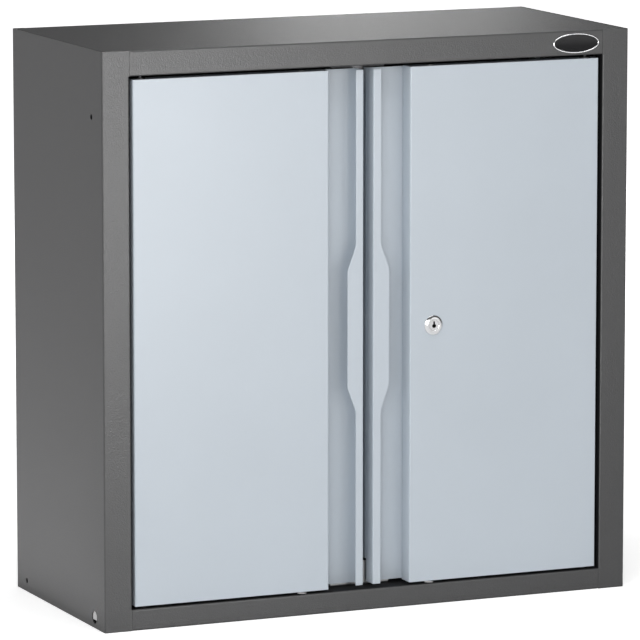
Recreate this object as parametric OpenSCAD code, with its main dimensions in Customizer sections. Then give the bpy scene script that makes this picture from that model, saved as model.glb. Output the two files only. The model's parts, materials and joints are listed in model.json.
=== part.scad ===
// Two-door tool cabinet in folded sheet steel, for the wall or a bench.
// Millimetres, +Z up, the front faces -Y. The origin is at the bottom centre.

/* [Cabinet] */
// Width over the side panels
cabinet_w = 714; // [600:1:900]
// Depth from the front frame to the back
cabinet_d = 312; // [260:1:400]
// Height
cabinet_h = 720; // [650:1:900]
// Sheet of the cabinet body
sheet_t = 1.2; // [1:0.1:1.5]
// Inside radius of every fold
fold_r = 0.8; // [0.5:0.1:1.2]

/* [Front frame] */
// Width of the two stiles
stile_w = 36; // [30:1:45]
// Height of the top rail
top_rail_h = 31.4; // [28:0.1:40]
// Height of the bottom rail, up to the floor
bottom_rail_h = 26.6; // [25:0.1:40]
// Depth of the folds that line the door opening at the sides
jamb_d = 20; // [15:1:22]
// Depth of the ledge over the doors
header_d = 58; // [58:1:70]
// Width of the folds along the back and the bottom
flange_w = 16; // [14:1:20]

/* [Doors] */
// Gap between a door and its stile
door_side_gap = 4.8; // [4.6:0.1:6]
// Gap under the top rail
door_top_gap = 4.6; // [4:0.1:6]
// Gap over the floor
door_bottom_gap = 3.4; // [3.2:0.1:5]
// Door front behind the frame front
door_setback = 1.5; // [1:0.1:2]
// Gap between the two doors
centre_gap = 13.2; // [12:0.1:16]
// Thickness of the folded door skin
door_t = 25.5; // [25:0.1:27]
// Sheet of the doors
door_sheet = 1; // [0.8:0.1:1.2]

/* [Finger channel] */
// From the cabinet's middle to the edge of the flat door front
panel_edge_x = 55.4; // [52:0.1:60]
// Lip behind the door front
lip_setback = 3.7; // [3:0.1:6]
// Width of the lip
lip_w = 10.4; // [9:0.1:12]
// Width of the lip at the grip
grip_w = 21.8; // [18:0.1:24]
// Height of the grip over its bevels
grip_h = 210; // [180:1:240]
// Height of the grip's middle
grip_z = 358; // [330:1:390]
// Height of one bevel
grip_bevel_h = 31; // [25:1:40]
// Lip ends short of the door's ends
lip_short = 1.2; // [1:0.1:3]

/* [Hinges] */
// Hinge pin from the door's outer edge
pivot_in = 14; // [13:0.5:16]
// Hinge pin behind the door front
pivot_back = 12; // [11:0.5:13]
// Radius of the hinge pins
pin_r = 3; // [2.5:0.1:3.2]
// Running clearance of every pin and rod, on the radius
running = 0.05; // [0.03:0.01:0.08]

/* [Lock and latch rods] */
// Height of the lock's centre
lock_z = 357; // [340:1:380]
// Lock and rods from the cabinet's middle
rod_x = 87.5; // [85:0.5:95]
// Rods behind the frame front
rod_depth = 12.5; // [12:0.5:13]
// Radius of the rods
rod_r = 3; // [2.5:0.1:3]
// Radius of the holes that the rods enter
rod_hole_r = 6.5; // [6:0.1:7]
// Radius of the lock's head
lock_head_r = 12.5; // [12:0.1:13]
// Radius of the lock's flat face
lock_face_r = 9.75; // [9:0.05:10]
// Lock head proud of the door
lock_proud = 3; // [2:0.1:3]
// Crank radius of the cam pins
crank_r = 10; // [9:0.5:10]

/* [Shelf] */
// Top of the shelf, in the steps of the slots
shelf_z = 380; // [205:25:555]

/* [Badge] */
// Width of the oval badge
badge_w = 64; // [50:1:66]
// Height of the oval badge
badge_h = 25; // [20:1:26]
// Middle of the badge from the cabinet's right side
badge_in = 73.6; // [45:0.1:120]

/* [Hidden] */

$fn = 48;
fold_steps = 5;
// Overlap that joins two solids, and overrun of every cutter
nick = 0.01;
over = 1;

frame_grey = "dimgray";
door_blue = "lightsteelblue";
zinc = "silver";
nylon = "whitesmoke";

// Side faces, door opening and doors
side_x = cabinet_w / 2;
inside_x = side_x - sheet_t;
opening_x = side_x - stile_w;
seam = 0.3;
rail_x = opening_x - seam;
rear_x = side_x - flange_w;
header_upturn = 12;
opening_top = cabinet_h - top_rail_h;
door_x = opening_x - door_side_gap;
meet_x = centre_gap / 2;
door_low = bottom_rail_h + door_bottom_gap;
door_high = opening_top - door_top_gap;
door_back = door_setback + door_t;
back_t = 1;
panel_back = door_back + back_t;
door_flange_w = 14;
weld_w = 10;
door_rivet_count = 5;
door_rivet_in = 8;
door_rivet_end = 47;
door_rivet_pitch = (door_high - door_low - 2 * door_rivet_end) / (door_rivet_count - 1);
meeting_flange_w = 10;
meeting_flange_y = 36;
meeting_flange_low = 60;
stiffener_x = 215;
crown_half = 18;
hat_half = 30;
stiffener_end = 8;

// The front plane lies where the lock's face and the back are equally far from the origin
front_y = -(cabinet_d - (lock_proud - door_setback)) / 2;

// Hinges
pivot_x = door_x - pivot_in;
pivot_y = door_setback + pivot_back;
pin_shoulder_h = 2.2;
bush_flange_t = door_bottom_gap - pin_shoulder_h;
bush_r = 5;
bush_flange_r = 7;
bush_h = 4.5;
bracket_t = 2.5;
bracket_w = 45;
bracket_h = 30;
bracket_clear = 1.5;
pin_reach = 14;
pin_rivet_t = 1;
pin_head_t = 4;

// Back of the cabinet
back_sheet = 1;
back_front_y = cabinet_d - sheet_t - back_sheet;
back_low = 8;
wall_hole_x = side_x - 52;
wall_hole_low = 75;
wall_hole_high = cabinet_h - 45;
wall_hole_r = 4.25;
rail_t = 1.5;
rail_h = 50;
rail_lip = 10;
rivet_r = 2;
rivet_head_r = 4;
rivet_head_h = 1.2;
back_rivet_end = 60;
back_rivet_zs = [for (i = [0:4]) back_rivet_end + i * (cabinet_h - 2 * back_rivet_end) / 4];
back_rivet_xs = [for (i = [-1.5:1:1.5]) i * (side_x - 72) * 2 / 3];
flange_mid_x = side_x - flange_w / 2;
upstand_h = 8;

// Holes in the side panels, each as depth and height
joint_hole_r = 3.5;
joint_holes = [[36, cabinet_h - 83], [cabinet_d - 36, 14]];
cable_hole_r = 8;
cable_hole = [36, 13.5];

// Cam and yokes, as depths behind the frame front
cam_front = 19;
cam_t = 2;
cam_r = 14;
cam_pin_r = 2;
cam_pin_end = 24.5;
yoke_front = 21.6;
yoke_t = 2;
yoke_play = 0.4;
tail_w = 4;
cam_screw_r = 1;
cam_screw_l = 5;
cam_head_r = 2.4;
cam_head_h = 2;
latch_head_r = 4.5;
yoke_inner_x = 3.4;
yoke_outer_x = crank_r + 6;
yoke_lip = 5;
bridge_x = -7;
bridge_low = 30;
rod_low = 34;
block_drop = 4;
barrel_r = 9.5;
barrel_end = 18.5;
plug_r = 6.5;
plug_face = door_setback - lock_proud + 0.3;
lock_chamfer = 1.8;
nut_r = 14.5;
nut_t = 5;
key_w = 1.6;
key_low = -4;
key_h = 7.6;
key_deep = 11;
core_r = 2;
core_z = 1.6;
crank_start = -45;
rod_rest_gap = 1;
upper_reach = door_high - rod_rest_gap - lock_z;
lower_reach = lock_z - door_low - rod_rest_gap;
yoke_top = 46;
guide_z = 75;
guide_h = 14;
guide_w = 18;
guide_flange_t = 2;

// Inside turn on the left door
spindle_r = 3;
spindle_bush_r = 6;
spindle_flange_r = 8;
bush_lip_t = 1;
knob_front = panel_back + 1.2;
knob_d = 12;
knob_disc_r = 11;
knob_disc_t = 4;
wing_r = 3.5;
wing_reach = 15;

// Stop plates behind the meeting edges, as width and depth of each
lower_plate = [80, 32];
upper_plate = [72, 40];
plate_foot = 16;
plate_h = 30;
plate_t = 1.5;
magnet_x = 26;
magnet_up = 17;
magnet_r = 6;
cup_r = 8;
magnet_gap = 0.2;
cup_floor = 1;
plate_screw_x = 28;
plate_screw_in = 9;
screw_r = 2;
screw_head_r = 3.6;
screw_head_h = 2.2;
screw_tail = 4;

// Shelf and its strips
strip_depths = [72, cabinet_d - 50];
strip_w = 20;
strip_d = 8;
strip_low = 36;
strip_high = cabinet_h - 34;
slot_w = 8;
slot_h = 6;
slot_pitch = 25;
first_slot = 45;
slot_count = 1 + floor((strip_high - first_slot - 20) / slot_pitch);
shelf_h = 25;
shelf_front = 46;
shelf_end = cabinet_d - 13;
shelf_x = inside_x - strip_d - 3.3;
shelf_return = 14;
clip_t = 1.5;
clip_w = 16;
clip_leg = 18;
hook_half = 3;
hook_reach = 4;
hook_t = 2;
hook_drop = 6;
clip_slot_z = shelf_z - shelf_h - 10;

// Badge
badge_x = side_x - badge_in;
badge_edge = 1.5;
badge_plate_proud = 0.9;
badge_rim_proud = 1.3;

// Direction and left-hand normal of the line from a to b
function along(a, b) = (b - a) / norm(b - a);
function left_of(a, b) = let (u = along(a, b)) [-u.y, u.x];
// Corner b of the path a-b-c, moved t to the left
function moved_corner(a, b, c, t) =
  let (m = left_of(a, b), n = left_of(b, c)) b + t * (m + n) / (1 + m * n);
function moved_path(p, t) = [for (i = [0:len(p) - 1])
  i == 0 ? p[0] + t * left_of(p[0], p[1]) :
  i == len(p) - 1 ? p[i] + t * left_of(p[i - 1], p[i]) :
  moved_corner(p[i - 1], p[i], p[i + 1], t)];
function turn(a, b, c) = cross(b - a, c - b) > 0 ? 1 : -1;
// Arc of radius r that rounds corner b of the path a-b-c
function arc(a, b, c, r) =
  let (u = along(b, a), v = along(b, c), open = acos(u * v), s = turn(a, b, c),
    centre = b + (u + v) / norm(u + v) * r / sin(open / 2),
    start = b + u * r / tan(open / 2) - centre)
  [for (k = [0:fold_steps]) let (w = s * (180 - open) * k / fold_steps)
    centre + [start.x * cos(w) - start.y * sin(w), start.x * sin(w) + start.y * cos(w)]];
// Path with its corners rounded: r at left turns, r + grow at right turns
function rounded(p, r, grow) = [for (i = [0:len(p) - 1])
  each (i == 0 || i == len(p) - 1) ? [p[i]] :
    arc(p[i - 1], p[i], p[i + 1], turn(p[i - 1], p[i], p[i + 1]) > 0 ? r + grow.x : r + grow.y)];

function reversed(p) = [for (i = [len(p) - 1:-1:0]) p[i]];

// Section of a folded sheet: the path is one face, and the sheet lies to its left
module folded(path, t) {
  face = rounded(path, fold_r, [t, 0]);
  other = rounded(moved_path(path, t), fold_r, [0, t]);
  polygon(concat(face, reversed(other)));
}

// The same with the sheet to the path's right
module folded_right(path, t) {
  folded(reversed(path), t);
}

// A section drawn as [depth, height], run along X
module run_x(x0, x1) {
  translate([x0, 0, 0]) rotate([90, 0, 90]) linear_extrude(x1 - x0) children();
}

// A section drawn as [x, height], run along the depth
module run_y(y0, y1) {
  translate([0, y1, 0]) rotate([90, 0, 0]) linear_extrude(y1 - y0) children();
}

// A section drawn as [x, depth], run along the height
module run_z(z0, z1) {
  translate([0, 0, z0]) linear_extrude(z1 - z0) children();
}

// Block between two corners
module block(low, high) {
  translate(low) cube(high - low);
}

// Round bar along the depth, from y0 to y1
module bar_y(r, y0, y1) {
  translate([0, y1, 0]) rotate([90, 0, 0]) cylinder(r = r, h = y1 - y0);
}

// Round bar along the width
module bar_x(r, x0, x1) {
  translate([x0, 0, 0]) rotate([0, 90, 0]) cylinder(r = r, h = x1 - x0);
}

// Everything is drawn with its front plane at y = 0 and moved to its place here
module placed() {
  translate([0, front_y, 0]) children();
}

// ---- Cabinet body ----

module side_shape() {
  plain = [[-side_x + flange_w, cabinet_d], [-side_x, cabinet_d], [-side_x, 0], [-opening_x, 0]];
  lined = concat(plain, [[-opening_x, jamb_d]]);
  difference() {
    union() {
      run_z(0, bottom_rail_h) folded(plain, sheet_t);
      run_z(bottom_rail_h, opening_top) folded(lined, sheet_t);
      run_z(opening_top, cabinet_h) folded(plain, sheet_t);
      block([-inside_x, jamb_d, 0], [-side_x + flange_w, cabinet_d - flange_w, sheet_t]);
    }
    for (h = joint_holes)
      translate([0, h[0], h[1]]) bar_x(joint_hole_r, -side_x - over, -inside_x + over);
    translate([0, cable_hole[0], cable_hole[1]]) bar_x(cable_hole_r, -side_x - over, -inside_x + over);
    for (z = back_rivet_zs)
      translate([-flange_mid_x, 0, z]) bar_y(rivet_r, cabinet_d - 2 * sheet_t, cabinet_d + over);
  }
}

module left_side_panel() color(frame_grey) placed() side_shape();

module right_side_panel() color(frame_grey) placed() mirror([1, 0, 0]) side_shape();

// Upright hole through the floor or the ledge, by the radius and place of its piece
module sheet_hole(r, x, y, z) {
  translate([x, y, z - over]) cylinder(r = r, h = sheet_t + 2 * over);
}

module top_panel() color(frame_grey) placed() difference() {
  rail = [[header_d, opening_top + header_upturn], [header_d, opening_top], [0, opening_top],
    [0, cabinet_h], [2 * header_d, cabinet_h]];
  rear = [[sheet_t, cabinet_h], [cabinet_d, cabinet_h], [cabinet_d, cabinet_h - flange_w]];
  union() {
    run_x(-rail_x, rail_x) folded_right(rail, sheet_t);
    run_x(-rear_x, rear_x) folded_right(rear, sheet_t);
    for (s = [0, 1]) mirror([s, 0, 0]) run_y(sheet_t + fold_r, back_front_y)
      folded([[inside_x, cabinet_h - flange_w], [inside_x, cabinet_h], [opening_x - 1, cabinet_h]], sheet_t);
  }
  for (s = [-1, 1]) {
    sheet_hole(pin_r, s * pivot_x, pivot_y, opening_top);
    sheet_hole(rod_hole_r, s * rod_x, rod_depth, opening_top);
    sheet_hole(screw_r, s * plate_screw_x, upper_plate.y + plate_screw_in, opening_top);
  }
  for (x = back_rivet_xs)
    translate([x, 0, cabinet_h - flange_w / 2]) bar_y(rivet_r, cabinet_d - 2 * sheet_t, cabinet_d + over);
}

module bottom_panel() color(frame_grey) placed() difference() {
  floor_z = bottom_rail_h;
  rail = [[2 * header_d, floor_z], [0, floor_z], [0, 0], [flange_w, 0]];
  rear = [[back_front_y, floor_z - flange_w], [back_front_y, floor_z], [sheet_t, floor_z]];
  union() {
    run_x(-rail_x, rail_x) folded(rail, sheet_t);
    run_x(-rear_x, rear_x) folded(rear, sheet_t);
    for (s = [0, 1]) mirror([s, 0, 0]) run_y(sheet_t + fold_r, back_front_y)
      folded_right([[opening_x - 1, floor_z], [inside_x - sheet_t, floor_z],
        [inside_x - sheet_t, floor_z + upstand_h]], sheet_t);
  }
  for (s = [-1, 1]) {
    sheet_hole(pin_r, s * pivot_x, pivot_y, floor_z - sheet_t);
    sheet_hole(rod_hole_r, s * rod_x, rod_depth, floor_z - sheet_t);
    sheet_hole(screw_r, s * plate_screw_x, lower_plate.y + plate_screw_in, floor_z - sheet_t);
  }
}

module wall_holes() {
  for (x = [-wall_hole_x, wall_hole_x], z = [wall_hole_low, wall_hole_high])
    translate([x, 0, z]) bar_y(wall_hole_r, back_front_y - rail_t - over, cabinet_d);
}

module back_panel() color(frame_grey) placed() difference() {
  edge = inside_x - fold_r;
  top = cabinet_h - sheet_t - fold_r;
  block([-edge, back_front_y, back_low], [edge, back_front_y + back_sheet, top]);
  wall_holes();
  back_rivet_places() bar_y(rivet_r, back_front_y - over, cabinet_d);
}

module back_rivet_places() {
  for (s = [-1, 1], z = back_rivet_zs)
    translate([s * flange_mid_x, 0, z]) children();
  for (x = back_rivet_xs)
    translate([x, 0, cabinet_h - flange_w / 2]) children();
}

module back_rivets() color(zinc) placed() back_rivet_places() {
  bar_y(rivet_r, back_front_y, cabinet_d);
  bar_y(rivet_head_r, back_front_y - rivet_head_h, back_front_y);
}

module wall_rail(z) color(frame_grey) placed() difference() {
  y = back_front_y;
  run_x(-inside_x + flange_w, inside_x - flange_w) folded([[y - rail_lip, z - rail_h / 2],
    [y, z - rail_h / 2], [y, z + rail_h / 2], [y - rail_lip, z + rail_h / 2]], rail_t);
  wall_holes();
}

module upper_wall_rail() wall_rail(wall_hole_high);

module lower_wall_rail() wall_rail(wall_hole_low);

// ---- Shelf ----

module shelf_strip(y) difference() {
  run_z(strip_low, strip_high) folded_right([[-inside_x, y + strip_w / 2],
    [-inside_x + strip_d, y + strip_w / 2], [-inside_x + strip_d, y - strip_w / 2],
    [-inside_x, y - strip_w / 2]], sheet_t);
  for (i = [0:slot_count - 1])
    translate([-inside_x + strip_d, y, first_slot + i * slot_pitch])
      cube([3 * sheet_t, slot_w, slot_h], center = true);
}

module left_front_strip() color(zinc) placed() shelf_strip(strip_depths[0]);
module left_rear_strip() color(zinc) placed() shelf_strip(strip_depths[1]);
module right_front_strip() color(zinc) placed() mirror([1, 0, 0]) shelf_strip(strip_depths[0]);
module right_rear_strip() color(zinc) placed() mirror([1, 0, 0]) shelf_strip(strip_depths[1]);

module shelf_clips() color(zinc) placed() {
  face = -inside_x + strip_d;
  top = shelf_z - shelf_h;
  for (s = [0, 1], y = strip_depths) mirror([s, 0, 0]) {
    run_y(y - clip_w / 2, y + clip_w / 2)
      folded_right([[face, top - clip_leg], [face, top], [face + clip_w, top]], clip_t);
    block([face - hook_reach, y - hook_half, clip_slot_z - hook_t],
      [face + nick, y + hook_half, clip_slot_z + hook_t]);
    block([face - hook_reach, y - hook_half, clip_slot_z - hook_t - hook_drop],
      [face - hook_t, y + hook_half, clip_slot_z + hook_t]);
  }
}

module shelf() color(frame_grey) placed() {
  low = shelf_z - shelf_h;
  // The four sides stop short of the corners, where the sheet is notched
  notch = 2 * door_sheet;
  run_y(shelf_front + door_sheet, shelf_end - door_sheet) folded_right([[-shelf_x + shelf_return, low],
    [-shelf_x, low], [-shelf_x, shelf_z], [shelf_x, shelf_z], [shelf_x, low], [shelf_x - shelf_return, low]],
    door_sheet);
  run_x(-shelf_x + notch, shelf_x - notch) folded_right([[shelf_front + shelf_return, low],
    [shelf_front, low], [shelf_front, shelf_z], [shelf_end, shelf_z], [shelf_end, low],
    [shelf_end - shelf_return, low]], door_sheet);
}

// ---- Stops and catches behind the meeting edges ----

// Turns a piece drawn for the floor over to hang from the header
module under_header() {
  translate([0, 0, bottom_rail_h + opening_top]) mirror([0, 0, 1]) children();
}

module stop_plate(plate) difference() {
  z = bottom_rail_h;
  y = plate.y;
  run_x(-plate.x / 2, plate.x / 2) folded_right([[y + plate_foot, z], [y, z], [y, z + plate_h]], plate_t);
  for (s = [-1, 1]) {
    translate([s * plate_screw_x, y + plate_screw_in, z - over])
      cylinder(r = screw_r, h = plate_t + 2 * over);
    translate([s * magnet_x, 0, z + magnet_up]) bar_y(screw_r, y - over, y + plate_t + over);
  }
}

module lower_stop_plate() color(zinc) placed() stop_plate(lower_plate);
module upper_stop_plate() color(zinc) placed() under_header() stop_plate(upper_plate);

module plate_screws(plate) {
  z = bottom_rail_h;
  for (s = [-1, 1]) translate([s * plate_screw_x, plate.y + plate_screw_in, 0]) {
    translate([0, 0, z - screw_tail]) cylinder(r = screw_r, h = screw_tail + plate_t);
    translate([0, 0, z + plate_t]) cylinder(r = screw_head_r, h = screw_head_h);
  }
}

module stop_plate_screws() color(zinc) placed() {
  plate_screws(lower_plate);
  under_header() plate_screws(upper_plate);
}

// A cup with a stem through the stop plate
module cup(plate) {
  face = door_back + magnet_gap;
  difference() {
    bar_y(cup_r, face, plate.y);
    bar_y(magnet_r, face - over, plate.y - cup_floor);
  }
  bar_y(screw_r, plate.y - nick, plate.y + plate_t);
  bar_y(screw_head_r, plate.y + plate_t, plate.y + plate_t + cup_floor);
}

module magnet_pair() {
  for (s = [-1, 1]) translate([s * magnet_x, 0, bottom_rail_h + magnet_up]) children();
}

module magnet_cups() color("dimgray") placed() {
  magnet_pair() cup(lower_plate);
  under_header() magnet_pair() cup(upper_plate);
}

module catch_magnets() color(zinc) placed() {
  face = door_back + magnet_gap;
  magnet_pair() bar_y(magnet_r, face, lower_plate.y - cup_floor);
  under_header() magnet_pair() bar_y(magnet_r, face, upper_plate.y - cup_floor);
}

// ---- Hinge pins, fixed in the floor and the header ----

module lower_hinge_pins() color(zinc) placed() for (s = [-1, 1]) translate([s * pivot_x, pivot_y, 0]) {
  translate([0, 0, bottom_rail_h - sheet_t]) cylinder(r = pin_r, h = sheet_t + door_bottom_gap + pin_reach);
  translate([0, 0, bottom_rail_h]) cylinder(r = bush_r, h = pin_shoulder_h);
  translate([0, 0, bottom_rail_h - sheet_t - pin_rivet_t]) cylinder(r = bush_r, h = pin_rivet_t);
}

module upper_hinge_pins() color(zinc) placed() for (s = [-1, 1]) translate([s * pivot_x, pivot_y, 0]) {
  translate([0, 0, door_high - pin_reach])
    cylinder(r = pin_r, h = pin_reach + door_top_gap + sheet_t);
  translate([0, 0, opening_top + sheet_t]) cylinder(r = 2 * pin_r, h = pin_head_t, $fn = 6);
}

// ---- Badge ----

module oval(w, h) {
  polygon([for (i = [0:$fn - 1]) [w / 2 * cos(360 * i / $fn), h / 2 * sin(360 * i / $fn)]]);
}

module badge_at(proud) {
  translate([badge_x, 0, cabinet_h - top_rail_h / 2]) rotate([90, 0, 0]) linear_extrude(proud) children();
}

module badge_field() oval(badge_w - 2 * badge_edge, badge_h - 2 * badge_edge);

module badge_plate() color("black") placed() badge_at(badge_plate_proud) badge_field();

module badge_rim() color(zinc) placed() badge_at(badge_rim_proud) difference() {
  oval(badge_w, badge_h);
  badge_field();
}

// ---- Doors, drawn as the left one ----

module grip_tab() {
  edge = -meet_x - lip_w;
  root = edge + 2 * door_sheet;
  tip = -meet_x - grip_w;
  low = grip_z - grip_h / 2;
  high = grip_z + grip_h / 2;
  y = door_setback + lip_setback;
  run_y(y, y + door_sheet) polygon([[root, low], [edge, low], [tip, low + grip_bevel_h],
    [tip, high - grip_bevel_h], [edge, high], [root, high]]);
}

module door_skin() {
  t = door_sheet;
  panel = [[-door_x + door_flange_w, door_back], [-door_x, door_back], [-door_x, door_setback],
    [-panel_edge_x, door_setback], [-panel_edge_x, door_back - t], [-panel_edge_x - weld_w, door_back - t]];
  difference() {
    union() {
      run_z(door_low, door_high) folded(panel, t);
      for (z = [door_low, door_high - t])
        block([-door_x + t / 2, door_setback + t / 2, z], [-panel_edge_x - t / 2, door_back - t, z + t]);
    }
    for (z = [door_low - over, door_high - t - over]) {
      translate([-pivot_x, pivot_y, z]) cylinder(r = bush_r + running, h = t + 2 * over);
      translate([-rod_x, rod_depth, z]) cylinder(r = bush_r + running, h = t + 2 * over);
    }
    door_rivet_places() bar_y(rivet_r, door_back - t - over, door_back + over);
  }
}

// Floor of the finger channel, meeting wall, lip and grip, welded to the skin's inner fold
module grip_channel() {
  t = door_sheet;
  lip_y = door_setback + lip_setback + t;
  run_z(door_low + lip_short, door_high - lip_short) folded([[-panel_edge_x - weld_w, door_back - t],
    [-meet_x - t, door_back - t], [-meet_x - t, lip_y], [-meet_x - lip_w, lip_y]], t);
  grip_tab();
}

// Angle behind the channel floor that carries the meeting wall further back
module meeting_flange() run_z(meeting_flange_low, door_high - lip_short)
  folded([[-meet_x - meeting_flange_w, door_back], [-meet_x, door_back], [-meet_x, meeting_flange_y]],
    door_sheet);

module door_rivet_places() {
  for (i = [0:door_rivet_count - 1])
    translate([-door_x + door_rivet_in, 0, door_low + door_rivet_end + i * door_rivet_pitch]) children();
}

module door_rivets() door_rivet_places() {
  bar_y(rivet_r, door_back - door_sheet, panel_back);
  bar_y(rivet_head_r, panel_back, panel_back + rivet_head_h);
}

module door_back_sheet() difference() {
  inset = 2 * door_sheet;
  block([-door_x + inset, door_back, door_low + door_sheet],
    [-panel_edge_x + door_flange_w, panel_back, door_high - door_sheet]);
  door_rivet_places() bar_y(rivet_r, door_back - over, panel_back + over);
}

// Hat channel between the skin and the back sheet
module door_stiffener() {
  crown = door_setback + 2 * door_sheet;
  translate([-stiffener_x, 0, 0]) run_z(door_low + stiffener_end, door_high - stiffener_end)
    folded_right([[-hat_half, door_back], [-crown_half, door_back], [-crown_half, crown],
      [crown_half, crown], [crown_half, door_back], [hat_half, door_back]], door_sheet);
}

// Angles that carry the bushes inside the door's lower and upper ends
module hinge_bracket(z, up) translate([0, 0, z]) mirror([0, 0, up]) difference() {
  low = [-door_x + door_sheet, door_setback + door_sheet + bracket_clear, 0];
  rear = door_back - door_sheet - bracket_clear;
  union() {
    block(low, [-door_x + bracket_w, rear, bracket_t]);
    block(low, [low.x + bracket_t, rear, bracket_h]);
  }
  translate([-pivot_x, pivot_y, -over]) cylinder(r = bush_r + running, h = bracket_t + 2 * over);
}

module hinge_brackets() {
  hinge_bracket(door_low + door_sheet, 0);
  hinge_bracket(door_high - door_sheet, 1);
}

module hinge_bush(z, up) translate([-pivot_x, pivot_y, z]) mirror([0, 0, up]) difference() {
  union() {
    cylinder(r = bush_r, h = bush_h);
    translate([0, 0, -bush_flange_t]) cylinder(r = bush_flange_r, h = bush_flange_t);
  }
  translate([0, 0, -bush_flange_t - over])
    cylinder(r = pin_r + running, h = bush_h + bush_flange_t + 2 * over);
}

module hinge_bushes() {
  hinge_bush(door_low, 0);
  hinge_bush(door_high, 1);
}

module rod_bore() {
  translate([-rod_x, rod_depth, 0]) cylinder(r = rod_r + running, h = cabinet_h);
}

module rod_guides() difference() {
  union() {
    for (s = [-1, 1])
      translate([-rod_x - guide_w / 2, door_setback + door_sheet, lock_z + s * guide_z - guide_h / 2])
        cube([guide_w, door_t - door_sheet, guide_h]);
    translate([-rod_x, rod_depth, door_low]) cylinder(r = bush_r, h = door_sheet);
    translate([-rod_x, rod_depth, door_low + door_sheet]) cylinder(r = bush_flange_r, h = guide_flange_t);
    translate([-rod_x, rod_depth, door_high - door_sheet]) cylinder(r = bush_r, h = door_sheet);
    translate([-rod_x, rod_depth, door_high - door_sheet - guide_flange_t])
      cylinder(r = bush_flange_r, h = guide_flange_t);
  }
  rod_bore();
}

module left_door_skin() color(door_blue) placed() door_skin();

module right_door_skin() color(door_blue) placed() difference() {
  mirror([1, 0, 0]) door_skin();
  translate([rod_x, 0, lock_z])
    bar_y(barrel_r + running, door_setback - over, door_setback + door_sheet + over);
}

module left_meeting_flange() color(door_blue) placed() meeting_flange();
module right_meeting_flange() color(door_blue) placed() mirror([1, 0, 0]) meeting_flange();
module left_grip_channel() color(door_blue) placed() grip_channel();
module right_grip_channel() color(door_blue) placed() mirror([1, 0, 0]) grip_channel();

module left_door_back() color(door_blue) placed() difference() {
  door_back_sheet();
  translate([-rod_x, 0, lock_z]) bar_y(spindle_bush_r + running, door_back - over, panel_back + over);
}

module right_door_back() color(door_blue) placed() mirror([1, 0, 0]) door_back_sheet();

module left_door_stiffener() color(zinc) placed() door_stiffener();
module right_door_stiffener() color(zinc) placed() mirror([1, 0, 0]) door_stiffener();
module left_hinge_brackets() color(zinc) placed() hinge_brackets();
module right_hinge_brackets() color(zinc) placed() mirror([1, 0, 0]) hinge_brackets();
module left_hinge_bushes() color(nylon) placed() hinge_bushes();
module right_hinge_bushes() color(nylon) placed() mirror([1, 0, 0]) hinge_bushes();
module left_rod_guides() color(nylon) placed() rod_guides();
module right_rod_guides() color(nylon) placed() mirror([1, 0, 0]) rod_guides();
module left_door_rivets() color(door_blue) placed() door_rivets();
module right_door_rivets() color(door_blue) placed() mirror([1, 0, 0]) door_rivets();

// ---- Latch rods: each has a yoke whose slot a cam pin moves ----

// Drawn for the upper rod, with the cam's centre at x = 0, z = 0
module rod_and_yoke(reach) {
  pin_x = crank_r * cos(crank_start);
  pin_z = crank_r * sin(crank_start);
  room = cam_pin_r + yoke_play;
  difference() {
    block([yoke_inner_x, yoke_front, pin_z - yoke_lip], [yoke_outer_x, yoke_front + yoke_t, yoke_top]);
    block([pin_x - room, yoke_front - over, pin_z - room],
      [crank_r + room, yoke_front + yoke_t + over, pin_z + room]);
  }
  block([bridge_x, yoke_front, bridge_low], [yoke_inner_x + nick, yoke_front + yoke_t, yoke_top]);
  block([-rod_r, rod_depth, rod_low], [rod_r, yoke_front + nick, yoke_top - block_drop]);
  translate([0, rod_depth, rod_low]) cylinder(r = rod_r, h = reach - rod_low);
}

module right_upper_rod() color(zinc) placed() translate([rod_x, 0, lock_z]) rod_and_yoke(upper_reach);

module right_lower_rod() color(zinc) placed() translate([rod_x, 0, lock_z])
  rotate([0, 180, 0]) rod_and_yoke(lower_reach);

module left_upper_rod() color(zinc) placed() translate([-rod_x, 0, lock_z]) rod_and_yoke(upper_reach);

module left_lower_rod() color(zinc) placed() translate([-rod_x, 0, lock_z])
  rotate([0, 180, 0]) rod_and_yoke(lower_reach);

// Square tail that turns a cam
module tail(y0, y1) {
  block([-tail_w / 2, y0, -tail_w / 2], [tail_w / 2, y1, tail_w / 2]);
}

// Cam disc with its two pins
module cam() {
  difference() {
    bar_y(cam_r, cam_front, cam_front + cam_t);
    tail(cam_front - over, cam_front + cam_t + over);
  }
  for (a = [crank_start, crank_start + 180])
    translate([crank_r * cos(a), 0, crank_r * sin(a)])
      bar_y(cam_pin_r, cam_front + cam_t - nick, cam_pin_end);
}

module left_latch_cam() color(zinc) placed() translate([-rod_x, 0, lock_z]) cam();
module lock_cam() color(zinc) placed() translate([rod_x, 0, lock_z]) cam();

// ---- Lock on the right door ----

module lock_body() color(zinc) placed() translate([rod_x, 0, lock_z]) difference() {
  face = door_setback - lock_proud;
  rotate([90, 0, 0]) rotate_extrude()
    polygon([[0, -face], [lock_face_r, -face], [lock_head_r, -face - lock_chamfer],
      [lock_head_r, -door_setback], [barrel_r, -door_setback], [barrel_r, -barrel_end], [0, -barrel_end]]);
  bar_y(plug_r + running, face - over, barrel_end + over);
}

module lock_nut() color(zinc) placed() translate([rod_x, 0, lock_z]) difference() {
  front = door_setback + door_sheet;
  translate([0, front + nut_t, 0]) rotate([90, 0, 0]) cylinder(r = nut_r, h = nut_t, $fn = 6);
  bar_y(barrel_r, front - over, front + nut_t + over);
}

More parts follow.
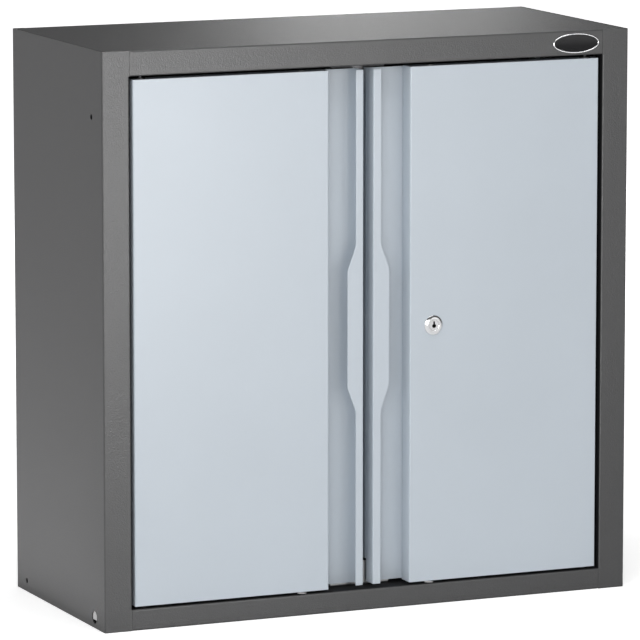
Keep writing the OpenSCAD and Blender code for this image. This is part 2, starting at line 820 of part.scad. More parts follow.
module lock_plug() color(zinc) placed() translate([rod_x, 0, lock_z]) difference() {
  union() {
    bar_y(plug_r, plug_face, cam_front);
    tail(cam_front - nick, cam_front + cam_t - nick);
  }
  block([-key_w / 2, plug_face - over, key_low], [key_w / 2, plug_face + key_deep, key_low + key_h]);
  translate([0, 0, core_z]) bar_y(core_r, plug_face - over, plug_face + key_deep);
  bar_y(cam_screw_r, cam_front - cam_screw_l, cam_front + cam_t + over);
}

module cam_screw() {
  bar_y(cam_screw_r, cam_front - cam_screw_l, cam_front + cam_t);
  bar_y(cam_head_r, cam_front + cam_t, cam_front + cam_t + cam_head_h);
}

module lock_cam_screw() color(zinc) placed() translate([rod_x, 0, lock_z]) cam_screw();

// ---- Inside turn on the left door ----

module left_latch_bush() color(nylon) placed() translate([-rod_x, 0, lock_z]) difference() {
  union() {
    bar_y(spindle_bush_r, door_back, panel_back);
    bar_y(spindle_flange_r, door_back - guide_flange_t, door_back);
    bar_y(spindle_flange_r, panel_back, panel_back + bush_lip_t);
  }
  bar_y(spindle_r + running, door_back - guide_flange_t - over, panel_back + bush_lip_t + over);
}

// Winged knob on a spindle that ends in the cam's square tail
module left_latch_knob() color("dimgray") placed() translate([-rod_x, 0, lock_z]) difference() {
  union() {
    bar_y(knob_disc_r, knob_front, knob_front + knob_disc_t);
    translate([0, knob_front + knob_d, 0]) rotate([90, 0, 0])
      linear_extrude(knob_d - knob_disc_t + nick) wing_outline();
    bar_y(spindle_r, cam_front + cam_t, knob_front + nick);
    tail(cam_front, cam_front + cam_t + nick);
  }
  bar_y(cam_screw_r, cam_front - over, cam_front + cam_screw_l);
}

module wing_outline() {
  translate([-wing_r, -wing_reach]) square([2 * wing_r, 2 * wing_reach]);
  for (s = [-1, 1]) translate([0, s * wing_reach]) circle(r = wing_r);
}

module left_cam_screw() color(zinc) placed() translate([-rod_x, 0, lock_z]) {
  bar_y(cam_screw_r, cam_front, cam_front + cam_screw_l);
  bar_y(latch_head_r, cam_front - cam_head_h, cam_front);
}

left_side_panel();
right_side_panel();
top_panel();
bottom_panel();
back_panel();
upper_wall_rail();
lower_wall_rail();
back_rivets();
left_front_strip();
left_rear_strip();
right_front_strip();
right_rear_strip();
shelf_clips();
shelf();
lower_stop_plate();
upper_stop_plate();
stop_plate_screws();
magnet_cups();
catch_magnets();
lower_hinge_pins();
upper_hinge_pins();
badge_plate();
badge_rim();
left_door_skin();
left_grip_channel();
left_meeting_flange();
left_door_back();
left_door_stiffener();
left_hinge_brackets();
left_hinge_bushes();
left_rod_guides();
left_door_rivets();
right_door_skin();
right_grip_channel();
right_meeting_flange();
right_door_back();
right_door_stiffener();
right_hinge_brackets();
right_hinge_bushes();
right_rod_guides();
right_door_rivets();
left_upper_rod();
left_lower_rod();
right_upper_rod();
right_lower_rod();
left_latch_cam();
left_latch_knob();
left_latch_bush();
left_cam_screw();
lock_body();
lock_nut();
lock_plug();
lock_cam();
lock_cam_screw();
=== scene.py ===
import json
import math

import bmesh
import bpy
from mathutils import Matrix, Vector

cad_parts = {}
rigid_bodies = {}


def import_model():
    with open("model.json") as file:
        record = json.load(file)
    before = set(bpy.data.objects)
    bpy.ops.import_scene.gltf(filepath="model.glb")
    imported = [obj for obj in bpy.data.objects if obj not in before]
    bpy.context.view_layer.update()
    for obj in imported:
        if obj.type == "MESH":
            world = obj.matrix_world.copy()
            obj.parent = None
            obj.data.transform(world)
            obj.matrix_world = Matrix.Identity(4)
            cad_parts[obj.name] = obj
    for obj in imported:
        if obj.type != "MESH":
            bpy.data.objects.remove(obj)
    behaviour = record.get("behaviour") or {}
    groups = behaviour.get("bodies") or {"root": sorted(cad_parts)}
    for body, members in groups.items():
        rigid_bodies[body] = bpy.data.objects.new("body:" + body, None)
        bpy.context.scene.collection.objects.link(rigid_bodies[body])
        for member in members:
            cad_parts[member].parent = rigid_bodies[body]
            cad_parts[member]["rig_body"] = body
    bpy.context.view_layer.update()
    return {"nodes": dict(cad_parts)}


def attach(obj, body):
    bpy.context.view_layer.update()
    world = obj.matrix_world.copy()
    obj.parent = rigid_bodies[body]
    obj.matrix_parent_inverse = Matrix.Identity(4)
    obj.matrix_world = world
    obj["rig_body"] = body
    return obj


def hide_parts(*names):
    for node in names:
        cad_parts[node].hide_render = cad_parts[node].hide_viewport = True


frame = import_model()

# ---- Camera --------------------------------------------------------------------------------
# A long lens, 24 degrees to the cabinet's left and 9 degrees above it, as the photograph
# was taken. The place is the eye's own, so the perspective of the top and side agrees too.
CAMERA_PLACE = Vector((-2.6729, -6.1457, 1.4033))
CAMERA_AZIMUTH = math.radians(-23.50)
CAMERA_ELEVATION = math.radians(8.96)
CAMERA_LENS = 299.2
SENSOR_WIDTH = 36.0
SIGHT = 60.0

eye = bpy.data.cameras.new("eye")
eye.lens = CAMERA_LENS
eye.sensor_width = SENSOR_WIDTH
eye.clip_end = SIGHT
eye_object = bpy.data.objects.new("eye", eye)
eye_object.location = CAMERA_PLACE
eye_object.rotation_euler = (math.pi / 2 - CAMERA_ELEVATION, 0.0, CAMERA_AZIMUTH)
bpy.context.scene.collection.objects.link(eye_object)
bpy.context.scene.camera = eye_object

# ---- Studio --------------------------------------------------------------------------------
# A wide white paper floor that runs out of sight and a white surround. Soft boxes light the
# cabinet at a plain level, and cards that only mirror rays see give the sheen on its front,
# top and left side.
FLOOR_REACH = 14.0
AMBIENT = 0.15
MIRRORED = 0.13
PAPER_ALBEDO = 0.80
PAPER_LIFT = 0.45
PAPER_MIRRORED = 0.13
PAPER_NEAR = 0.6
PAPER_FAR = 2.6


def node_adder(tree):
    """A function that adds a node to a tree, with its settings and its inputs' links or values."""
    def join(made, links):
        for socket, value in links.items():
            for source in value if isinstance(value, list) else [value]:
                if isinstance(source, bpy.types.NodeSocket):
                    tree.links.new(source, made.inputs[socket])
                else:
                    made.inputs[socket].default_value = source

    def add(kind, links=None, **settings):
        made = tree.nodes.new(kind)
        for key, value in settings.items():
            setattr(made, key, value)
        join(made, links or {})
        return made

    add.join = join
    return add


def shader_tree(holder):
    """An emptied node tree of a material or world, and its node adder."""
    holder.use_nodes = True
    holder.node_tree.nodes.clear()
    return holder.node_tree, node_adder(holder.node_tree)


def link_mesh(name, vertices, faces, edges=()):
    """A new mesh object at the origin."""
    mesh = bpy.data.meshes.new(name)
    mesh.from_pydata(vertices, edges, faces)
    made = bpy.data.objects.new(name, mesh)
    bpy.context.scene.collection.objects.link(made)
    return made


world = bpy.data.worlds.new("studio")
bpy.context.scene.world = world
_, add = shader_tree(world)
path = add("ShaderNodeLightPath")
seen_white = add("ShaderNodeMath", {0: path.outputs["Is Camera Ray"], 1: path.outputs["Is Transmission Ray"]},
                 operation="MAXIMUM")
ambient = add("ShaderNodeMix", {2: AMBIENT, 3: MIRRORED, 0: path.outputs["Is Glossy Ray"]})
level = add("ShaderNodeMix", {2: ambient.outputs[0], 3: 1.0, 0: seen_white.outputs[0]})
surround = add("ShaderNodeBackground", {"Color": (1.0, 1.0, 1.0, 1.0), "Strength": level.outputs[0]})
add("ShaderNodeOutputWorld", {"Surface": surround.outputs[0]})

# The camera sees lit paper near the cabinet and white paper further off. Mirror rays see it darker.
paper = bpy.data.materials.new("paper")
_, add = shader_tree(paper)
path = add("ShaderNodeLightPath")
white = add("ShaderNodeMix", {2: PAPER_ALBEDO, 3: 1.0, 0: path.outputs["Is Camera Ray"]})
tint = add("ShaderNodeCombineColor", {0: white.outputs[0], 1: white.outputs[0], 2: white.outputs[0]})
sheet = add("ShaderNodeBsdfDiffuse", {"Color": tint.outputs[0]})
shown = add("ShaderNodeMath", {0: path.outputs["Is Camera Ray"], 1: path.outputs["Is Glossy Ray"]},
            operation="MAXIMUM")
place = add("ShaderNodeTexCoord")
away = add("ShaderNodeVectorMath", {0: place.outputs["Object"]}, operation="LENGTH")
far = add("ShaderNodeMapRange", {"Value": away.outputs["Value"], "From Min": PAPER_NEAR,
                                 "From Max": PAPER_FAR, "To Min": PAPER_LIFT, "To Max": 1.0},
          interpolation_type="SMOOTHSTEP")
lift = add("ShaderNodeMix", {2: PAPER_MIRRORED, 3: far.outputs[0], 0: path.outputs["Is Camera Ray"]})
lift = add("ShaderNodeMath", {0: lift.outputs[0], 1: shown.outputs[0]}, operation="MULTIPLY")
glow = add("ShaderNodeEmission", {"Strength": lift.outputs[0]})
both = add("ShaderNodeAddShader", {0: sheet.outputs[0], 1: glow.outputs[0]})
add("ShaderNodeOutputMaterial", {"Surface": both.outputs[0]})
floor_corners = [(FLOOR_REACH * x, FLOOR_REACH * y, 0.0) for x, y in ((-1, -1), (1, -1), (1, 1), (-1, 1))]
floor = link_mesh("paper_floor", floor_corners, [(0, 1, 2, 3)])
floor.data.materials.append(paper)


def soft_box(name, place, target, size, radiance, diffuse=True, glossy=True):
    """A square area lamp of this radiance that faces target, unseen by the camera."""
    lamp = bpy.data.lights.new(name, "AREA")
    lamp.shape = "SQUARE"
    lamp.size = size
    lamp.energy = radiance * math.pi * size * size
    made = bpy.data.objects.new(name, lamp)
    made.location = place
    made.rotation_euler = (Vector(target) - Vector(place)).to_track_quat("-Z", "Y").to_euler()
    made.visible_camera = False
    made.visible_diffuse = diffuse
    made.visible_glossy = glossy
    bpy.context.scene.collection.objects.link(made)


FRONT = (0.0, -0.15, 0.36)
TOP = (0.05, 0.0, 0.72)
SIDE = (-0.357, 0.0, 0.36)
soft_box("key_box", (-2.4, -3.0, 1.3), FRONT, size=2.2, radiance=3.15)
soft_box("right_box", (2.0, -3.4, 1.2), FRONT, size=1.8, radiance=2.55)
soft_box("far_left_box", (-3.4, -1.0, 1.2), FRONT, size=1.6, radiance=2.3)
soft_box("left_box", (-3.4, 0.2, 0.7), SIDE, size=1.6, radiance=3.0, glossy=False)
soft_box("overhead_box", (0.0, -0.6, 3.2), (0.0, -0.05, 0.4), size=2.2, radiance=3.7)
soft_box("floor_bounce", (-0.68, 0.12, 0.004), (-0.68, 0.12, 1.0), size=0.6, radiance=3.9, glossy=False)
soft_box("sheen_card", (0.1, -2.1, 0.44), (-0.2, -0.15, 0.44), size=0.54, radiance=33.0, diffuse=False)
soft_box("top_card", (1.25, 3.0, 1.25), TOP, size=0.3, radiance=3.0, diffuse=False)
soft_box("top_card_right", (1.5, 3.0, 1.25), TOP, size=0.45, radiance=3.1, diffuse=False)
soft_box("side_card", (-1.6, 3.0, 0.25), (-0.357, 0.0, 0.3), size=1.2, radiance=0.5, diffuse=False)
soft_box("rear_box", (1.6, 3.4, 1.6), (0.0, 0.16, 0.36), size=1.8, radiance=2.2, glossy=False)

# ---- Side panels ---------------------------------------------------------------------------
# Each is one folding of 1.2 mm sheet steel: side, full-height stile and the jamb inside it.
# The holes are punched before folding, and the whole body is powder coated dark grey.
GREY = (0.047, 0.047, 0.048)
# Black for the painted shade on the faces inside the doorway, the box DOORWAY.
PAINTED_SHADE_BLACK = (0.012, 0.012, 0.013)
PAINT_IOR = 1.5
PEEL_SCALE = 220.0
PEEL_DEPTH = 0.0004
GRAIN_DEPTH = 0.00035
DRIFT_SCALE = 6.0
DRIFT = 0.015
GLOSS_SPREAD = 0.05
SHEET_BREAK = 0.00025
SAME_POINT = 1e-6
SHARP_ABOVE = math.radians(32)
FLAT_BELOW = math.radians(0.4)
SHARP_WEIGHT = 80
DOORWAY = ((-0.3215, -0.1548, 0.0261), (0.3215, -0.1050, 0.6891))


def noise(add, place, scale, detail, roughness=0.5):
    """Noise that stays fixed to the piece."""
    return add("ShaderNodeTexNoise", {"Vector": place.outputs["Object"], "Scale": scale, "Detail": detail,
                                      "Roughness": roughness})


def spread(add, source, low, high, reach=0.2):
    """Maps a noise's values within reach of its middle to low and high."""
    return add("ShaderNodeMapRange", {"Value": source.outputs[0], "From Min": 0.5 - reach,
                                      "From Max": 0.5 + reach, "To Min": low, "To Max": high})


def surface(add, colour, tone, gloss, bump, **values):
    """Ends a material: its colour times the tone, its roughness and its bump in one shader."""
    shade = add("ShaderNodeVectorMath", {0: colour, "Scale": tone.outputs[0]}, operation="SCALE")
    skin = add("ShaderNodeBsdfPrincipled", {"Base Color": shade.outputs[0], "Roughness": gloss.outputs[0],
                                            "Normal": bump.outputs[0], **values})
    add("ShaderNodeOutputMaterial", {"Surface": skin.outputs[0]})


def powder_coat(name, colour, roughness, grain, grain_size, peel, variation, ior=PAINT_IOR):
    """Baked powder paint: fine grain and a soft orange peel in the bump, and a faint uneven tone."""
    paint = bpy.data.materials.new(name)
    _, add = shader_tree(paint)
    place = add("ShaderNodeTexCoord")
    fine = noise(add, place, 1.0 / grain_size, detail=3.0, roughness=0.65)
    soft = noise(add, place, PEEL_SCALE, detail=1.0)
    cloud = noise(add, place, DRIFT_SCALE, detail=4.0)
    speck = spread(add, fine, 1.0 - variation, 1.0 + variation, reach=0.25)
    drift = spread(add, cloud, 1.0 - DRIFT, 1.0 + DRIFT)
    tone = add("ShaderNodeMath", {0: speck.outputs[0], 1: drift.outputs[0]}, operation="MULTIPLY")
    gloss = spread(add, fine, roughness - GLOSS_SPREAD, roughness + GLOSS_SPREAD, reach=0.25)
    peel_bump = add("ShaderNodeBump", {"Height": soft.outputs[0], "Strength": peel, "Distance": PEEL_DEPTH})
    bump = add("ShaderNodeBump", {"Height": fine.outputs[0], "Normal": peel_bump.outputs[0],
                                  "Strength": grain, "Distance": GRAIN_DEPTH})
    surface(add, colour, tone, gloss, bump, IOR=ior)
    return paint


def edited(mesh, edit):
    """Changes a mesh by a function of its bmesh."""
    work = bmesh.new()
    work.from_mesh(mesh)
    edit(work)
    work.to_mesh(mesh)
    work.free()


def clean_faces(mesh, outward=False):
    """Merges a mesh's doubles and its flat neighbours, and marks its real edges sharp."""
    def clean(work):
        bmesh.ops.remove_doubles(work, verts=work.verts, dist=SAME_POINT)
        if outward:
            bmesh.ops.recalc_face_normals(work, faces=work.faces)
        bmesh.ops.dissolve_limit(work, angle_limit=FLAT_BELOW, verts=work.verts, edges=work.edges,
                                 delimit=set())
        for face in work.faces:
            face.smooth = True
        for edge in work.edges:
            edge.smooth = len(edge.link_faces) == 2 and edge.calc_face_angle(0.0) < SHARP_ABOVE

    edited(mesh, clean)


def baked(made):
    """Replaces an object's mesh with its modifiers' result, and removes the modifiers."""
    result = bpy.data.meshes.new_from_object(made.evaluated_get(bpy.context.evaluated_depsgraph_get()))
    made.modifiers.clear()
    old = made.data
    result.name = old.name
    made.data = result
    bpy.data.meshes.remove(old)
    return made


def broken_edges(made, width, segments=2):
    """Breaks the cut edges by a small radius, as deburring and paint leave them."""
    round_off = made.modifiers.new("edges", "BEVEL")
    round_off.width = width
    round_off.segments = segments
    round_off.limit_method = "ANGLE"
    round_off.angle_limit = SHARP_ABOVE
    level = made.modifiers.new("normals", "WEIGHTED_NORMAL")
    level.weight = SHARP_WEIGHT
    return baked(made)


def fitted(made, node):
    """Puts a finished piece in its node's body, and hides the node."""
    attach(made, frame["nodes"][node]["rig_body"])
    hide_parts(node)
    return made


def merged_copy(node, material):
    """A new object with a CAD node's solid, its triangles merged into whole faces."""
    mesh = frame["nodes"][node].data.copy()
    mesh.name = node + "_finished"
    mesh.materials.clear()
    mesh.materials.append(material)
    clean_faces(mesh)
    made = bpy.data.objects.new(mesh.name, mesh)
    bpy.context.scene.collection.objects.link(made)
    return made


def finished(node, material, edge=SHEET_BREAK, segments=2):
    """A CAD node as it leaves the shop: merged into whole faces, edges broken, then coated."""
    return fitted(broken_edges(merged_copy(node, material), edge, segments), node)


grey_coat = powder_coat("grey_coat", GREY, roughness=0.385, grain=1.0, grain_size=0.0017, peel=0.10,
                        variation=0.10)
# The doorway's black coat is painted shade, for the shade between the doors and the body.
doorway_painted_shade = powder_coat("doorway_painted_shade", PAINTED_SHADE_BLACK, roughness=0.80, grain=0.3, grain_size=0.002, peel=0.10,
                     variation=0.10, ior=1.2)


def shade_painted_doorway(made):
    """Gives the faces inside the doorway a second, black coat: painted shade for the shade behind the doors.
    """
    made.data.materials.append(doorway_painted_shade)
    low, high = DOORWAY
    for face in made.data.polygons:
        if all(low[axis] < face.center[axis] < high[axis] for axis in range(3)):
            face.material_index = 1


# Their faces inside the doorway get the black painted shade.
for panel in ("left_side_panel", "right_side_panel"):
    shade_painted_doorway(finished(panel, grey_coat))

# ---- Top and floor panels ------------------------------------------------------------------
# Each is one folding of the same sheet: the top with its rail and the ledge over the doors,
# the floor with its rail. They are spot welded between the side panels.
FLOOR_Z = 0.0266
FLAT_UP = 0.9
NEAR_LEVEL = 1e-4


def split_floor(work):
    """Cuts the floor's faces where the doorway ends, so that only its front part gets the black painted
    shade.
    """
    floor_faces = [face for face in work.faces
                   if face.normal.z > FLAT_UP and abs(face.calc_center_median().z - FLOOR_Z) < NEAR_LEVEL]
    around = {part for face in floor_faces for part in (face, *face.edges, *face.verts)}
    bmesh.ops.bisect_plane(work, geom=list(around), dist=SAME_POINT, plane_co=(0.0, DOORWAY[1][1], 0.0),
                           plane_no=(0.0, 1.0, 0.0))


# The top's and the floor's faces inside the doorway get the black painted shade too, on the floor only its
# front part.
shade_painted_doorway(finished("top_panel", grey_coat))
bottom = merged_copy("bottom_panel", grey_coat)
edited(bottom.data, split_floor)
shade_painted_doorway(fitted(broken_edges(bottom, SHEET_BREAK), "bottom_panel"))

# ---- Back panel ----------------------------------------------------------------------------
# A flat 1 mm sheet closes the back from inside the folds of the sides and the top. It has
# four holes for the wall screws and is coated with the body.
finished("back_panel", grey_coat)

# ---- Back rivets ---------------------------------------------------------------------------
# Fourteen zinc plated steel rivets join the back sheet to the folds of the sides and the top.
# Their domed heads are inside the cabinet, and their shanks end flush with the folds.
BACK_SHEET_Y = 0.15455
BACK_THICKNESS = 0.0022
SIDE_FOLD_X = 0.349
SIDE_RIVET_LOW = 0.060
SIDE_RIVET_PITCH = 0.150
SIDE_RIVET_COUNT = 5
TOP_FOLD_Z = 0.712
TOP_RIVET_PITCH = 0.190
INWARD = (0.0, -1.0, 0.0)
ZINC = (0.62, 0.64, 0.66)
FINE_SCALE = 1400.0
FINE_DEPTH = 0.0001
ROLLED_GRAIN = 0.12
SHANK_SIDES = 24
HEAD_SEGMENTS = 32
HEAD_RINGS = 16
BEYOND = 2.0
RIVET = {"Shank radius": 0.002, "Head radius": 0.004, "Head height": 0.0012}


def plated(name, colour, roughness, cloud_size):
    """Plated metal: cloudy roughness, faint colour drift and a fine rolled grain."""
    metal = bpy.data.materials.new(name)
    _, add = shader_tree(metal)
    place = add("ShaderNodeTexCoord")
    cloud = noise(add, place, 1.0 / cloud_size, detail=5.0, roughness=0.6)
    fine = noise(add, place, FINE_SCALE, detail=2.0)
    tone = spread(add, cloud, low=0.90, high=1.06)
    gloss = spread(add, cloud, roughness - 0.05, roughness + 0.07)
    bump = add("ShaderNodeBump", {"Height": fine.outputs[0], "Strength": ROLLED_GRAIN,
                                  "Distance": FINE_DEPTH})
    surface(add, colour, tone, gloss, bump, Metallic=1.0)
    return metal


def shape_tree(name, sockets):
    """A geometry tree with named inputs: the tree, its inputs, a node adder and its ending."""
    tree = bpy.data.node_groups.new(name, "GeometryNodeTree")
    tree.is_modifier = True
    tree.interface.new_socket("Geometry", in_out="OUTPUT", socket_type="NodeSocketGeometry")
    tree.interface.new_socket("Geometry", in_out="INPUT", socket_type="NodeSocketGeometry")
    for label, kind in sockets.items():
        tree.interface.new_socket(label, in_out="INPUT", socket_type="NodeSocket" + kind)
    add = node_adder(tree)
    given = add("NodeGroupInput").outputs

    def end(geometry):
        real = add("GeometryNodeRealizeInstances", {"Geometry": geometry})
        coated = add("GeometryNodeSetMaterial", {"Geometry": real.outputs[0], "Material": given["Finish"]})
        add("NodeGroupOutput", {"Geometry": coated.outputs[0]})

    return tree, given, add, end


def shaped(made, tree, values):
    """Runs a geometry tree on an object and keeps the result as its plain mesh."""
    step = made.modifiers.new(tree.name, "NODES")
    step.node_group = tree
    for item in tree.interface.items_tree:
        if item.in_out == "INPUT" and item.name in values:
            step[item.identifier] = values[item.name]
    return baked(made)


def marked_points(name, spots):
    """One point for each (place, way): where a fastener's head sits, and the way it faces."""
    made = link_mesh(name, [place for place, _ in spots], [])
    way = made.data.attributes.new("way", "FLOAT_VECTOR", "POINT")
    for row, (_, direction) in zip(way.data, spots):
        row.vector = direction
    return made


def on_points(add, points, solid):
    """Instances of a solid drawn along Z, turned to each point's own way."""
    way = add("GeometryNodeInputNamedAttribute", {"Name": "way"}, data_type="FLOAT_VECTOR")
    turned = add("FunctionNodeAlignRotationToVector", {"Vector": way.outputs["Attribute"]}, axis="Z")
    return add("GeometryNodeInstanceOnPoints", {"Points": points, "Instance": solid,
                                                "Rotation": turned.outputs[0]}).outputs[0]


def drawn_shank(add, radius, length):
    """A round shank that hangs down from the origin."""
    bar = add("GeometryNodeMeshCylinder", {"Vertices": SHANK_SIDES, "Radius": radius, "Depth": length})
    half = add("ShaderNodeMath", {0: length, 1: -0.5}, operation="MULTIPLY")
    down = add("ShaderNodeCombineXYZ", {"Z": half.outputs[0]})
    hung = add("GeometryNodeTransform", {"Geometry": bar.outputs["Mesh"], "Translation": down.outputs[0]})
    return hung.outputs[0]


def drawn_head(add, radius, height, crown):
    """A domed head on a flat underside, its crown flattened at this share of a half ball."""
    ball = add("GeometryNodeMeshUVSphere", {"Segments": HEAD_SEGMENTS, "Rings": HEAD_RINGS, "Radius": 1.0})
    place = add("GeometryNodeInputPosition")
    above = add("ShaderNodeVectorMath", {0: place.outputs[0], 1: (-BEYOND, -BEYOND, 0.0)},
                operation="MAXIMUM")
    below = add("ShaderNodeVectorMath", {0: above.outputs[0], 1: (BEYOND, BEYOND, crown)},
                operation="MINIMUM")
    dome = add("GeometryNodeSetPosition", {"Geometry": ball.outputs["Mesh"], "Position": below.outputs[0]})
    tall = add("ShaderNodeMath", {0: height, 1: crown}, operation="DIVIDE")
    size = add("ShaderNodeCombineXYZ", {"X": radius, "Y": radius, "Z": tall.outputs[0]})
    return add("GeometryNodeTransform", {"Geometry": dome.outputs[0], "Scale": size.outputs[0]}).outputs[0]


rivet_tree, given, add, end = shape_tree("rivets", {
    "Shank radius": "Float", "Shank length": "Float", "Head radius": "Float", "Head height": "Float",
    "Finish": "Material"})
shank = drawn_shank(add, given["Shank radius"], given["Shank length"])
head = drawn_head(add, given["Head radius"], given["Head height"], 1.0)
rivet = add("GeometryNodeJoinGeometry", {"Geometry": [shank, head]})
end(on_points(add, given["Geometry"], rivet.outputs[0]))

zinc = plated("zinc", ZINC, roughness=0.34, cloud_size=0.012)
spots = [((side * SIDE_FOLD_X, BACK_SHEET_Y, SIDE_RIVET_LOW + SIDE_RIVET_PITCH * step), INWARD)
         for side in (-1, 1) for step in range(SIDE_RIVET_COUNT)]
spots += [((TOP_RIVET_PITCH * step, BACK_SHEET_Y, TOP_FOLD_Z), INWARD) for step in (-1.5, -0.5, 0.5, 1.5)]
rivets = shaped(marked_points("back_rivets_finished", spots), rivet_tree,
                {**RIVET, "Shank length": BACK_THICKNESS, "Finish": zinc})
clean_faces(rivets.data, outward=True)
fitted(rivets, "back_rivets")

# ---- Wall rails ----------------------------------------------------------------------------
# Two channels of 1.5 mm sheet inside the back take the wall screws. They are coated with
# the body.
for rail in ("upper_wall_rail", "lower_wall_rail"):
    finished(rail, grey_coat)

# ---- Shelf strips --------------------------------------------------------------------------
# Four channels of zinc plated 1.2 mm sheet, spot welded upright to the side panels. Slots
# punched every 25 mm take the hooks of the shelf clips.
STRIP_FACE_X = 0.3484
STRIP_BACK_X = 0.3558
STRIP_HALF = 0.0094
STRIP_DEPTHS = {"front": 0.072, "rear": 0.262}
STRIP_LOW = 0.036
STRIP_HIGH = 0.686
STRIP_FOLD = 0.0008
STRIP_SHEET = 0.0012
STRIP_BREAK = 0.00015
PUNCH = (0.0036, 0.008, 0.006)
FIRST_SLOT_Z = 0.045
SLOT_PITCH = 0.025
SLOT_COUNT = 25
FRONT_Y = -0.15525

folded_tree, given, add, end = shape_tree("folded_sheet", {
    "Fold radius": "Float", "Sheet": "Float", "Low": "Float", "High": "Float", "Grip middle": "Float",
    "Grip height": "Float", "Grip bevel": "Float", "Grip reach": "Float", "Finish": "Material"})
FOLD_STEPS = 6
ROWS = 6
bare = add("GeometryNodeMeshToCurve", {"Mesh": given["Geometry"]})
section = add("GeometryNodeFilletCurve", {"Curve": bare.outputs[0], "Count": FOLD_STEPS,
                                          "Radius": given["Fold radius"]}, mode="POLY")
count = add("GeometryNodeAttributeDomainSize", {0: section.outputs[0]}, component="CURVE")
grid = add("GeometryNodeMeshGrid", {"Vertices X": count.outputs["Point Count"], "Vertices Y": ROWS})
index = add("GeometryNodeInputIndex")
share = add("ShaderNodeMath", {0: index.outputs[0], 1: ROWS}, operation="DIVIDE")
column = add("ShaderNodeMath", {0: share.outputs[0]}, operation="FLOOR")
row = add("ShaderNodeMath", {0: index.outputs[0], 1: ROWS}, operation="MODULO")
place = add("GeometryNodeInputPosition")
point = add("GeometryNodeSampleIndex", {"Geometry": section.outputs[0], "Value": place.outputs[0],
                                        "Index": column.outputs[0]}, data_type="FLOAT_VECTOR", domain="POINT")
half = add("ShaderNodeMath", {0: given["Grip height"], 1: 0.5}, operation="MULTIPLY")
grip_low = add("ShaderNodeMath", {0: given["Grip middle"], 1: half.outputs[0]}, operation="SUBTRACT")
grip_high = add("ShaderNodeMath", {0: given["Grip middle"], 1: half.outputs[0]}, operation="ADD")
flat_low = add("ShaderNodeMath", {0: grip_low.outputs[0], 1: given["Grip bevel"]}, operation="ADD")
flat_high = add("ShaderNodeMath", {0: grip_high.outputs[0], 1: given["Grip bevel"]}, operation="SUBTRACT")


def by_row(values):
    """Picks one of six values by the row of the sheet's grid."""
    pick = add("GeometryNodeIndexSwitch", data_type="FLOAT")
    while len(pick.index_switch_items) < ROWS:
        pick.index_switch_items.new()
    add.join(pick, {0: row.outputs[0], **{1 + step: value for step, value in enumerate(values)}})
    return pick.outputs[0]


# The rows are the sheet's two ends and the grip's corners. Only the section's last point, the
# lip's free edge, moves out for the grip.
rise = by_row([given["Low"], grip_low.outputs[0], flat_low.outputs[0], flat_high.outputs[0],
               grip_high.outputs[0], given["High"]])
reach = by_row([0.0, 0.0, given["Grip reach"], given["Grip reach"], 0.0, 0.0])
last = add("ShaderNodeMath", {0: count.outputs["Point Count"], 1: 1.5}, operation="SUBTRACT")
at_edge = add("ShaderNodeMath", {0: column.outputs[0], 1: last.outputs[0]}, operation="GREATER_THAN")
shift = add("ShaderNodeMath", {0: reach, 1: at_edge.outputs[0]}, operation="MULTIPLY")
move = add("ShaderNodeCombineXYZ", {"X": shift.outputs[0], "Z": rise})
spot = add("ShaderNodeVectorMath", {0: point.outputs[0], 1: move.outputs[0]}, operation="ADD")
middle = add("GeometryNodeSetPosition", {"Geometry": grid.outputs["Mesh"], "Position": spot.outputs[0]})
normal = add("GeometryNodeInputNormal")
back = add("ShaderNodeMath", {0: given["Sheet"], 1: -0.5}, operation="MULTIPLY")
inward = add("ShaderNodeVectorMath", {0: normal.outputs[0], "Scale": back.outputs[0]}, operation="SCALE")
inner = add("GeometryNodeSetPosition", {"Geometry": middle.outputs[0], "Offset": inward.outputs[0]})
outer = add("GeometryNodeExtrudeMesh", {"Mesh": inner.outputs[0], "Offset Scale": given["Sheet"],
                                        "Individual": False}, mode="FACES")
turned = add("GeometryNodeFlipFaces", {"Mesh": inner.outputs[0]})
shell = add("GeometryNodeJoinGeometry", {"Geometry": [outer.outputs["Mesh"], turned.outputs[0]]})
closed = add("GeometryNodeMergeByDistance", {"Geometry": shell.outputs[0], "Distance": SAME_POINT})
end(closed.outputs[0])

slot_tree, given, add, end = shape_tree("punched_slots", {
    "Punch": "Vector", "First": "Vector", "Pitch": "Float", "Count": "Int", "Finish": "Material"})
step_up = add("ShaderNodeCombineXYZ", {"Z": given["Pitch"]})
places = add("GeometryNodeMeshLine", {"Count": given["Count"], "Start Location": given["First"],
                                      "Offset": step_up.outputs[0]}, mode="OFFSET")
punch = add("GeometryNodeMeshCube", {"Size": given["Punch"]})
punches = add("GeometryNodeInstanceOnPoints", {"Points": places.outputs[0],
                                               "Instance": punch.outputs["Mesh"]})
cutters = add("GeometryNodeRealizeInstances", {"Geometry": punches.outputs[0]})
cut = add("GeometryNodeMeshBoolean", {0: given["Geometry"], 1: cutters.outputs[0]}, operation="DIFFERENCE",
          solver="EXACT")
end(cut.outputs["Mesh"])


def folded(name, section, radius, sheet, low, high, material, grip=None):
    """A folded sheet from its section's middle line, given as (x, depth) points."""
    points = [(x, FRONT_Y + depth, 0.0) for x, depth in section]
    made = link_mesh(name, points, [], edges=[(step, step + 1) for step in range(len(points) - 1)])
    # Without a grip its four rows only have to stand in order between the ends.
    third = (high - low) / 3
    plain = {"Grip middle": (low + high) / 2, "Grip height": third, "Grip bevel": third / 4,
             "Grip reach": 0.0}
    shaped(made, folded_tree, {"Fold radius": radius + sheet / 2, "Sheet": sheet, "Low": low, "High": high,
                               "Finish": material, **(grip or plain)})
    clean_faces(made.data, outward=True)
    return made


